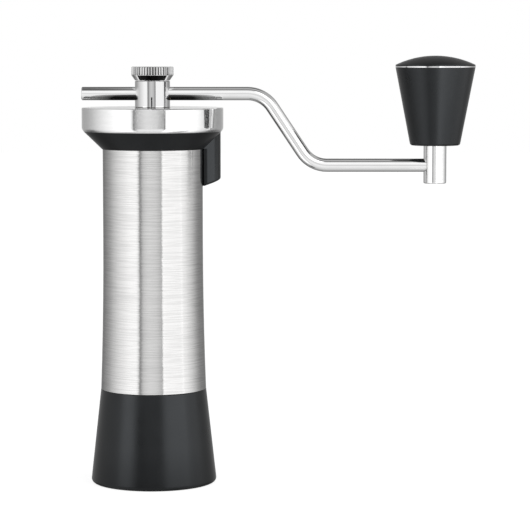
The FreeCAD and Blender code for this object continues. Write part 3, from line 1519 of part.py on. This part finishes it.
def knob_cap():
    """Domed cap with a skirt inside the knob's mouth."""
    skirt_foot = f"({KNOB_RIM} - cap_skirt_depth)"
    skirt_bore = f"({CAP_SKIRT} - cap_skirt_wall)"
    return turned("knob_cap", [
        ("0", CAP_FOOT),
        (skirt_bore, CAP_FOOT),
        (skirt_bore, skirt_foot),
        (CAP_SKIRT, skirt_foot),
        (CAP_SKIRT, CAP_FOOT),
        (KNOB_TOP_RADIUS, CAP_FOOT),
        (KNOB_TOP_RADIUS, f"{CAP_FOOT} + cap_edge_height", "arc", "0"),
        ("0", CAP_TOP),
    ], "arm_reach")


pieces = [
    catch_cup(), cup_keeper_ring(),
    body_tube(), hopper_collar(), lid_seal(), upper_spider(), spider_screws(), key_pin(),
    detent_ball(), detent_spring(), lower_spider(), lower_bearing_circlip(),
    outer_burr(), retaining_ring(), cup_magnets(),
    adjusting_dial(), bearing_sleeve(), sleeve_circlip(),
    drive_shaft(), shaft_circlip(), drive_pin(), inner_burr(), burr_washer(), burr_screw(),
    preload_spring(),
    lid(), lid_inlay(), lid_bush(), crank_hub(), hub_thrust_washer(), hub_circlip(),
    crank_arm(), thumb_screw(), clamp_pad(), knob_post(),
    knob_body(), knob_washer(), knob_screw(), knob_trim_ring(), knob_cap(),
]
pieces += bearing_nodes("upper", UPPER_BEARING_FOOT)
pieces += bearing_nodes("lower", LOWER_BEARING_FOOT)
pieces += knob_bushes()

doc.recompute()
for item in doc.Objects:
    if "Invalid" in item.State or "Error" in item.State:
        raise RuntimeError(f"{item.Label} ({item.Name}) failed: {item.State}")
for piece in pieces:
    if piece.Shape.isNull() or not piece.Shape.isValid():
        raise RuntimeError(f"{piece.Label} has no valid shape")

os.makedirs("parts", exist_ok=True)
for piece in pieces:
    piece.Shape.exportStep(f"parts/{piece.Label}.step")
    print(f"{piece.Label}: {len(piece.Shape.Solids)} solid(s), {piece.Shape.Volume:.1f} mm3")
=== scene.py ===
import json
import math

import bpy
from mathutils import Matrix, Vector


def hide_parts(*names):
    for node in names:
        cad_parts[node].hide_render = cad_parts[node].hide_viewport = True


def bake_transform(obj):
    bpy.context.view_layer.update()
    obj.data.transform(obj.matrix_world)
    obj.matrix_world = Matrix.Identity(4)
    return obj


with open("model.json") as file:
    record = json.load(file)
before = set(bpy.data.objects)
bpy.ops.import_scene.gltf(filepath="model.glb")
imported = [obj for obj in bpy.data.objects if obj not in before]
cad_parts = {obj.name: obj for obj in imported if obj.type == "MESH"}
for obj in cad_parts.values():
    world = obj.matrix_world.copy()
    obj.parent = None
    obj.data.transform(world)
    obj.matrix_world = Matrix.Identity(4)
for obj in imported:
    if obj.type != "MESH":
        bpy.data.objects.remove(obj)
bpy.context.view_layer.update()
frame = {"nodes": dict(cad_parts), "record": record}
nodes = frame["nodes"]
subparts = frame["record"]["subparts"]

# All lengths are in metres. The crank points along X and the camera looks along Y.
MM = 0.001

# Camera, fitted to the photograph's square
CAMERA_PLACE = Vector((57.0, -1183.5, 218.0)) * MM
CAMERA_TILT = math.radians(90 - 5.15)
CAMERA_LENS_MM = 158.26

# Grain of the materials, in cells per metre along X, Y and Z
BRUSH_LINES = (65, 65, 3000)
BRUSH_GROOVES = (65, 65, 2400)
BRUSH_CLOUDS = (25, 25, 160)
POLISHING_MARKS = (120, 120, 900)

# Grain of the materials, in cells per metre along each axis
LID_SCRATCHES = 6000
INLAY_MARKS = 400
PLASTIC_GRAIN = 5200
PLASTIC_CLOUDS = 90
CAST_GRAIN = 2200
MACHINED_GRAIN = 700
RUBBER_DUST = 1500

# Other sizes and properties of the materials
RELIEF_DEPTH = 0.004 * MM
GROOVE_REACH = 1.2 * MM
BLACK_RADIUS = 21.0 * MM
BRIGHT_RADIUS = 38.0 * MM
# Heights above the floor over which painted shade on the black plastic's reflections fades out
FOOT_SHADE_BOTTOM = 1.0 * MM
FOOT_SHADE_TOP = 21.0 * MM
BLACK_IOR = 1.385
BEVEL_SAMPLES = 6
OPENNESS_SAMPLES = 8

# Studio light by direction, as pairs of degrees and brightness. The side light goes round the object
# from the rear over the left, the front and the right, and the overhead light from the rear over the
# floor, the front and the ceiling.
SIDE_LIGHT = (
    # dim left rear
    (-180, 0.90), (-161, 0.50), (-147, 0.42), (-128, 0.47), (-114, 0.57),
    # left softbox
    (-80, 1.03), (-69, 1.15), (-54, 1.34), (-37, 1.40), (-31.5, 1.15),
    # front wall between two dark gaps
    (-28, 0.10), (-21.5, 0.58), (-10, 0.83), (-4, 0.86), (9, 0.75), (16, 0.52), (20, 0.41), (23.3, 0.08),
    # wall behind the right softbox
    (25, 0.30), (71.5, 0.30),
    # right wall
    (73, 1.28), (80, 1.22), (106, 0.74), (122, 0.46), (132, 0.37), (150, 0.41), (163, 0.50), (180, 0.90),
)
OVERHEAD_LIGHT = (
    # dim floor behind and below
    (-180, 0.60), (-165, 0.22), (-138, 0.24), (-120, 0.34), (-102, 0.42),
    # bright floor in front
    (-80, 0.66), (-58, 0.83), (-22, 1.03), (12, 1.07),
    # softbox above the camera
    (29, 1.16), (44, 1.10), (56, 0.80),
    # strip light overhead, between dark parts of the ceiling
    (64, 0.26), (76, 0.20), (86, 0.60), (100, 0.60), (110, 0.14), (119, 0.05), (128, 0.20),
    # dim rear wall
    (136, 0.29), (168, 0.30), (180, 0.60),
)

# Brightness that a colour ramp stands for at its top, as a ramp holds no more than 1
RAMP_TOP = 2.0

# Brightness of the other parts of the surroundings, and the share of light at the left of the ceiling
UPPER_LIGHT = 0.50
LOWER_LIGHT = 0.40
LOWER_BACK_LIGHT = 0.12
CEILING_LEFT_SHARE = 0.35

# Where one part of the surroundings gives way to the next, in parts of a unit direction
UPPER_HEIGHT = (0.40, 0.80)
LOWER_DEPTH = (0.72, 0.95)
LOWER_BACK_DEPTH = (0.15, 0.45)
LOWER_BACK_REACH = (0.2, 0.6)
CEILING_HEIGHT = (0.70, 0.85)
CEILING_LEFT = (-0.045, -0.075)
OVERHEAD_HEIGHT = (0.10, 0.30)
OVERHEAD_WIDTH = (0.25, 0.50)

# Floor, just under the cup so that the two faces don't coincide
FLOOR_SIZE = 8.0
FLOOR_GAP = 0.1 * MM
FLOOR_COLOUR = (0.4, 0.4, 0.4, 1)
FLOOR_GLOW = 0.84
WHITE = (1, 1, 1, 1)


class Tree:
    """Node tree, and short calls that add to it."""

    def __init__(self, tree):
        self.tree = tree

    def node(self, kind, **settings):
        """New node, with its settings by property name."""
        made = self.tree.nodes.new(kind)
        for key, value in settings.items():
            setattr(made, key, value)
        return made

    def link(self, source, target):
        """Link an output socket to an input socket."""
        self.tree.links.new(source, target)


# Materials

class Shader(Tree):
    """A material with a principled shader, built up from short calls."""

    def __init__(self, name):
        self.material = bpy.data.materials.new(name)
        self.material.use_nodes = True
        super().__init__(self.material.node_tree)
        self.surface = self.tree.nodes["Principled BSDF"]

    def feed(self, source, socket):
        """Link an output socket to one of the shader's own sockets."""
        self.link(source, self.surface.inputs[socket])

    def set(self, **values):
        """Constant values on the shader's own sockets."""
        for key, value in values.items():
            self.surface.inputs[key.replace("_", " ")].default_value = value

    def place(self, scale):
        """Object coordinates stretched by a scale along each axis."""
        where = self.node("ShaderNodeTexCoord")
        mapping = self.node("ShaderNodeMapping")
        mapping.inputs["Scale"].default_value = scale
        self.link(where.outputs["Object"], mapping.inputs["Vector"])
        return mapping.outputs["Vector"]

    def noise(self, *cells, detail):
        """Noise with a number of cells per metre, the same along each axis or one for each."""
        made = self.node("ShaderNodeTexNoise")
        made.inputs["Scale"].default_value = 1.0
        made.inputs["Detail"].default_value = detail
        self.link(self.place(cells if len(cells) == 3 else cells * 3), made.inputs["Vector"])
        return made.outputs["Fac"]

    def spread(self, value, low, high, start=0.3, stop=0.7):
        """Map a value from start..stop, by default the usual range of a noise, to low..high."""
        made = self.node("ShaderNodeMapRange")
        for key, number in (("From Min", start), ("From Max", stop), ("To Min", low), ("To Max", high)):
            made.inputs[key].default_value = number
        self.link(value, made.inputs["Value"])
        return made.outputs["Result"]

    def tint(self, share, dark, light, socket="Base Color"):
        """Colour that runs from dark to light with a share from 0 to 1."""
        made = self.node("ShaderNodeMix", data_type="RGBA")
        colours = [entry for entry in made.inputs if entry.type == "RGBA"]
        colours[0].default_value = (*dark, 1)
        colours[1].default_value = (*light, 1)
        self.link(share, made.inputs["Factor"])
        self.feed(next(entry for entry in made.outputs if entry.type == "RGBA"), socket)

    def mottle(self, noise, dark, light, **span):
        """Base colour that runs from dark to light with a noise value."""
        self.tint(self.spread(noise, 0.0, 1.0, **span), dark, light)

    def roughness(self, noise, low, high, **span):
        """Roughness that runs from low to high with a noise value."""
        self.feed(self.spread(noise, low, high, **span), "Roughness")

    def axis_distance(self):
        """Distance from the Z axis."""
        made = self.node("ShaderNodeVectorMath", operation="LENGTH")
        self.link(self.place((1, 1, 0)), made.inputs[0])
        return made.outputs["Value"]

    def height(self):
        """Height above the floor."""
        made = self.node("ShaderNodeSeparateXYZ")
        self.link(self.place((1, 1, 1)), made.inputs[0])
        return made.outputs["Z"]

    def openness(self, reach):
        """Share of open space in front of the surface, which falls in grooves."""
        made = self.node("ShaderNodeAmbientOcclusion", samples=OPENNESS_SAMPLES, only_local=True)
        made.inputs["Distance"].default_value = reach
        return made.outputs["AO"]

    def soft_edges(self, radius):
        """Normals that round off the edges by a given radius."""
        made = self.node("ShaderNodeBevel", samples=BEVEL_SAMPLES)
        made.inputs["Radius"].default_value = radius
        return made.outputs["Normal"]

    def combed(self, normal, noise, swing):
        """Normals swung to the left and right round the Z axis by a noise value."""
        around = self.node("ShaderNodeTangent", direction_type="RADIAL", axis="Z")
        side = self.node("ShaderNodeVectorMath", operation="SCALE")
        swung = self.node("ShaderNodeVectorMath", operation="ADD")
        unit = self.node("ShaderNodeVectorMath", operation="NORMALIZE")
        self.link(around.outputs[0], side.inputs[0])
        self.link(self.spread(noise, -swing, swing), side.inputs["Scale"])
        self.link(normal, swung.inputs[0])
        self.link(side.outputs[0], swung.inputs[1])
        self.link(swung.outputs[0], unit.inputs[0])
        return unit.outputs[0]

    def relief(self, noise, normal=None):
        """Very shallow relief from a noise value, on top of other normals."""
        made = self.node("ShaderNodeBump")
        made.inputs["Strength"].default_value = 1.0
        made.inputs["Distance"].default_value = RELIEF_DEPTH
        self.link(noise, made.inputs["Height"])
        if normal is not None:
            self.link(normal, made.inputs["Normal"])
        self.feed(made.outputs["Normal"], "Normal")


def grey(level, cool=0.0):
    """Grey of a given level, slightly blue if cool."""
    return (level * (1 - cool), level, level * (1 + cool))


def brushed_steel():
    """Stainless steel with brush lines that run round the body."""
    shader = Shader("brushed_steel")
    lines = shader.noise(*BRUSH_LINES, detail=2.0)
    grooves = shader.noise(*BRUSH_GROOVES, detail=2.0)
    clouds = shader.noise(*BRUSH_CLOUDS, detail=2.0)
    shader.set(Metallic=1.0, Anisotropic=1.0, Anisotropic_Rotation=0.25, Specular_Tint=(0.5, 0.5, 0.5, 1))
    shader.mottle(lines, grey(0.63, cool=-0.006), grey(0.72, cool=-0.006), start=0.41, stop=0.55)
    shader.roughness(clouds, 0.20, 0.24)
    shader.feed(shader.combed(shader.soft_edges(0.15 * MM), grooves, swing=0.010), "Normal")
    return shader.material


def polished(name):
    """Shader of polished steel with soft edges, and the noise of its polishing marks."""
    shader = Shader(name)
    shader.set(Metallic=1.0)
    shader.feed(shader.soft_edges(0.2 * MM), "Normal")
    return shader, shader.noise(*POLISHING_MARKS, detail=3.0)


def polished_steel():
    """Mirror-polished steel with faint polishing marks."""
    shader, marks = polished("polished_steel")
    shader.mottle(marks, grey(0.81), grey(0.85))
    shader.roughness(marks, 0.045, 0.085)
    return shader.material


def lid_steel():
    """Polished steel with a haze of fine scratches."""
    shader, marks = polished("lid_steel")
    shader.mottle(marks, grey(0.81), grey(0.85))
    shader.roughness(shader.noise(LID_SCRATCHES, detail=2.0), 0.06, 0.34, start=0.55, stop=0.60)
    return shader.material


def hub_steel():
    """Turned steel of the hub and thumb screw, with shade painted darker into its slit and knurling."""
    shader, marks = polished("hub_steel")
    # Painted shade: the base colour turns dark where grooves close the surface in
    shader.mottle(shader.openness(GROOVE_REACH), grey(0.04), grey(0.66), start=0.45, stop=0.90)
    shader.roughness(marks, 0.03, 0.06)
    return shader.material


def blackened_steel():
    """Polished disc that is black round the hub and bright as steel towards its rim."""
    shader = Shader("blackened_steel")
    bright = shader.spread(shader.axis_distance(), 0.0, 1.0, BLACK_RADIUS, BRIGHT_RADIUS)
    shader.set(IOR=BLACK_IOR)
    shader.tint(bright, grey(0.002), grey(0.83))
    shader.feed(bright, "Metallic")
    shader.roughness(shader.noise(INLAY_MARKS, detail=3.0), 0.05, 0.09)
    return shader.material


def black_plastic():
    """Black plastic with a very fine grain, and painted shade that darkens its reflections towards the
    foot of the cup.
    """
    shader = Shader("black_plastic")
    clouds = shader.noise(PLASTIC_CLOUDS, detail=3.0)
    unshaded = shader.spread(shader.height(), 0.0, 1.0, FOOT_SHADE_BOTTOM, FOOT_SHADE_TOP)
    shader.set(IOR=BLACK_IOR)
    # Painted shade: the specular tint is darker near the floor and full above it
    shader.tint(unshaded, grey(0.64, cool=0.055), grey(1.0, cool=0.055), "Specular Tint")
    shader.mottle(clouds, grey(0.0015, cool=0.04), grey(0.003, cool=0.04))
    shader.roughness(clouds, 0.27, 0.32)
    shader.relief(shader.noise(PLASTIC_GRAIN, detail=2.0), shader.soft_edges(0.25 * MM))
    return shader.material


def plain_metal(name, dark, light, rough, grain=MACHINED_GRAIN):
    """Metal with fine mottling, for the working parts."""
    shader = Shader(name)
    noise = shader.noise(grain, detail=3.0)
    shader.set(Metallic=1.0)
    shader.mottle(noise, dark, light)
    shader.roughness(noise, rough - 0.05, rough + 0.05)
    shader.relief(noise)
    return shader.material


def seal_rubber():
    """Matt black silicone."""
    shader = Shader("seal_rubber")
    dust = shader.noise(RUBBER_DUST, detail=2.0)
    shader.mottle(dust, grey(0.02), grey(0.035))
    shader.roughness(dust, 0.6, 0.75)
    return shader.material


MATERIALS = {
    "black_plastic": black_plastic(),
    "brushed_steel": brushed_steel(),
    "polished_steel": polished_steel(),
    "hub_steel": hub_steel(),
    "lid_steel": lid_steel(),
    "blackened_steel": blackened_steel(),
    "burr_steel": plain_metal("burr_steel", grey(0.30), grey(0.42), rough=0.35),
    "fastener_steel": plain_metal("fastener_steel", grey(0.5), grey(0.6), rough=0.25),
    "spring_steel": plain_metal("spring_steel", grey(0.38), grey(0.48), rough=0.3),
    "bearing_steel": plain_metal("bearing_steel", grey(0.68), grey(0.76), rough=0.12),
    "bronze": plain_metal("bronze", (0.15, 0.11, 0.075), (0.23, 0.17, 0.115), rough=0.42),
    "aluminium": plain_metal(
        "aluminium", grey(0.62, cool=0.01), grey(0.74, cool=0.01), rough=0.42, grain=CAST_GRAIN),
    "seal_rubber": seal_rubber(),
    "magnet_plating": plain_metal("magnet_plating", grey(0.66), grey(0.72), rough=0.18),
}

# Pieces that look different from the rest of their slot
OWN_MATERIALS = {
    "crank_hub": "hub_steel",
    "thumb_screw": "hub_steel",
    "lid": "lid_steel",
    "lid_inlay": "blackened_steel",
}


def dress_pieces():
    """Give each piece one material, its slot's or its own."""
    for subpart in subparts:
        node = subpart["node"]
        slots = nodes[node].data.materials
        slots.clear()
        slots.append(MATERIALS[OWN_MATERIALS.get(node, subpart["material_slot"])])


def flexing_spring():
    """Copy of the preload spring as an object of its own, with the rigid piece hidden."""
    rigid = nodes["preload_spring"]
    spring = bpy.data.objects.new("flexing_spring", rigid.data.copy())
    spring.matrix_world = rigid.matrix_world
    bpy.context.scene.collection.objects.link(spring)
    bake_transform(spring)
    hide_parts("preload_spring")


# Studio

def floor():
    """Plain pale floor, which runs into the white background and can be seen through from below."""
    bpy.ops.mesh.primitive_plane_add(size=FLOOR_SIZE, location=(0, 0, -FLOOR_GAP))
    plane = bpy.context.object
    plane.name = "floor"
    plane.visible_glossy = False
    plane.visible_shadow = False
    plane.visible_diffuse = False
    shader = Shader("pale_floor")
    shader.set(Base_Color=FLOOR_COLOUR, Roughness=0.9, Specular_IOR_Level=0.0)
    shader.set(Emission_Color=WHITE, Emission_Strength=FLOOR_GLOW)
    side = shader.node("ShaderNodeNewGeometry")
    clear = shader.node("ShaderNodeBsdfTransparent")
    blend = shader.node("ShaderNodeMixShader")
    shader.link(side.outputs["Backfacing"], blend.inputs["Fac"])
    shader.link(shader.surface.outputs[0], blend.inputs[1])
    shader.link(clear.outputs[0], blend.inputs[2])
    shader.link(blend.outputs[0], shader.tree.nodes["Material Output"].inputs["Surface"])
    plane.data.materials.append(shader.material)


class Sky(Tree):
    """World shader that gives light by direction, built up from short calls."""

    def __init__(self):
        self.world = bpy.data.worlds.new("studio")
        self.world.use_nodes = True
        super().__init__(self.world.node_tree)
        where = self.node("ShaderNodeTexCoord")
        parts = self.node("ShaderNodeSeparateXYZ")
        self.link(where.outputs["Generated"], parts.inputs[0])
        self.x, self.y, self.z = parts.outputs

    def math(self, operation, first, second=0.0):
        """Value of an operation on sockets or numbers."""
        made = self.node("ShaderNodeMath", operation=operation)
        for socket, value in zip(made.inputs, (first, second)):
            if isinstance(value, (int, float)):
                socket.default_value = value
            else:
                self.link(value, socket)
        return made.outputs[0]

    def both(self, first, second):
        """Product of two shares."""
        return self.math("MULTIPLY", first, second)

    def negative(self, value):
        """Value with its sign changed."""
        return self.math("MULTIPLY", value, -1.0)

    def step(self, value, start, stop):
        """Smooth step from 0 at start to 1 at stop."""
        made = self.node("ShaderNodeMapRange", interpolation_type="SMOOTHSTEP")
        made.inputs["From Min"].default_value = start
        made.inputs["From Max"].default_value = stop
        self.link(value, made.inputs["Value"])
        return made.outputs["Result"]

    def mix(self, share, first, second):
        """Blend of two values by a share."""
        return self.math("ADD", first, self.both(share, self.math("SUBTRACT", second, first)))

    def curve(self, rise, run, table):
        """Brightness read from a table of degrees and levels, by the angle of a slope."""
        made = self.node("ShaderNodeValToRGB")
        stops = made.color_ramp.elements
        while len(stops) < len(table):
            stops.new(1.0)
        for stop, (degrees, level) in zip(stops, table):
            stop.position = degrees / 360 + 0.5
            stop.color = (*grey(level / RAMP_TOP), 1)
        turn = self.math("DIVIDE", self.math("ARCTAN2", rise, run), 2 * math.pi)
        self.link(self.math("ADD", turn, 0.5), made.inputs["Fac"])
        return self.math("MULTIPLY", made.outputs["Color"], RAMP_TOP)


def surroundings():
    """Softboxes, walls, floor and ceiling as light by direction, all of it white to the camera."""
    sky = Sky()
    front = sky.negative(sky.y)
    depth = sky.negative(sky.z)
    level = sky.curve(sky.x, front, SIDE_LIGHT)
    level = sky.mix(sky.step(sky.z, *UPPER_HEIGHT), level, UPPER_LIGHT)
    level = sky.mix(sky.step(depth, *LOWER_DEPTH), level, LOWER_LIGHT)
    lower_back = sky.both(sky.step(depth, *LOWER_BACK_DEPTH), sky.step(sky.y, *LOWER_BACK_REACH))
    level = sky.mix(lower_back, level, LOWER_BACK_LIGHT)
    ceiling_left = sky.both(sky.step(sky.z, *CEILING_HEIGHT), sky.step(sky.x, *CEILING_LEFT))
    overhead = sky.curve(sky.z, front, OVERHEAD_LIGHT)
    overhead = sky.both(overhead, sky.mix(ceiling_left, 1.0, CEILING_LEFT_SHARE))
    height = sky.step(sky.math("ABSOLUTE", sky.z), *OVERHEAD_HEIGHT)
    middle = sky.math("SUBTRACT", 1.0, sky.step(sky.math("ABSOLUTE", sky.x), *OVERHEAD_WIDTH))
    level = sky.mix(sky.both(height, middle), level, overhead)
    path = sky.node("ShaderNodeLightPath")
    level = sky.mix(path.outputs["Is Camera Ray"], level, 1.0)
    sky.link(level, sky.tree.nodes["Background"].inputs["Color"])
    bpy.context.scene.world = sky.world


def panel(name, place, width, height, level, turn=0, lit=None):
    """Upright light panel turned by some degrees from the front, which may light some pieces alone."""
    data = bpy.data.lights.new(name, "AREA")
    data.shape = "RECTANGLE"
    data.size = width
    data.size_y = height
    data.energy = level * math.pi * width * height
    light = bpy.data.objects.new(name, data)
    light.location = place
    light.rotation_euler = (math.radians(90), 0, math.radians(turn))
    light.visible_camera = False
    light.light_linking.receiver_collection = lit
    bpy.context.scene.collection.objects.link(light)


def panels():
    """Softbox at the right, and panels that add gloss to the black plastic alone."""
    plastic = bpy.data.collections.new("plastic_pieces")
    for subpart in subparts:
        if subpart["material_slot"] == "black_plastic":
            plastic.objects.link(nodes[subpart["node"]])
    panel("right_softbox", (0.852, -0.484, 0.15), width=1.30, height=1.6, level=1.05)
    panel("right_glow", (0.811, -0.470, 0.30), width=1.26, height=0.66, level=1.3, lit=plastic)
    panel("side_glow", (1.05, -0.10, 0.30), width=0.80, height=0.66, level=0.55, turn=90, lit=plastic)
    panel("left_glow", (-0.72, -0.484, 0.30), width=0.70, height=0.66, level=1.5, lit=plastic)


def camera():
    """Camera at the photograph's place."""
    data = bpy.data.cameras.new("camera")
    data.lens = CAMERA_LENS_MM
    view = bpy.data.objects.new("camera", data)
    view.location = CAMERA_PLACE
    view.rotation_euler = (CAMERA_TILT, 0, 0)
    bpy.context.scene.collection.objects.link(view)
    bpy.context.scene.camera = view


dress_pieces()
flexing_spring()
floor()
surroundings()
panels()
camera()
bpy.context.scene.view_settings.view_transform = "Standard"
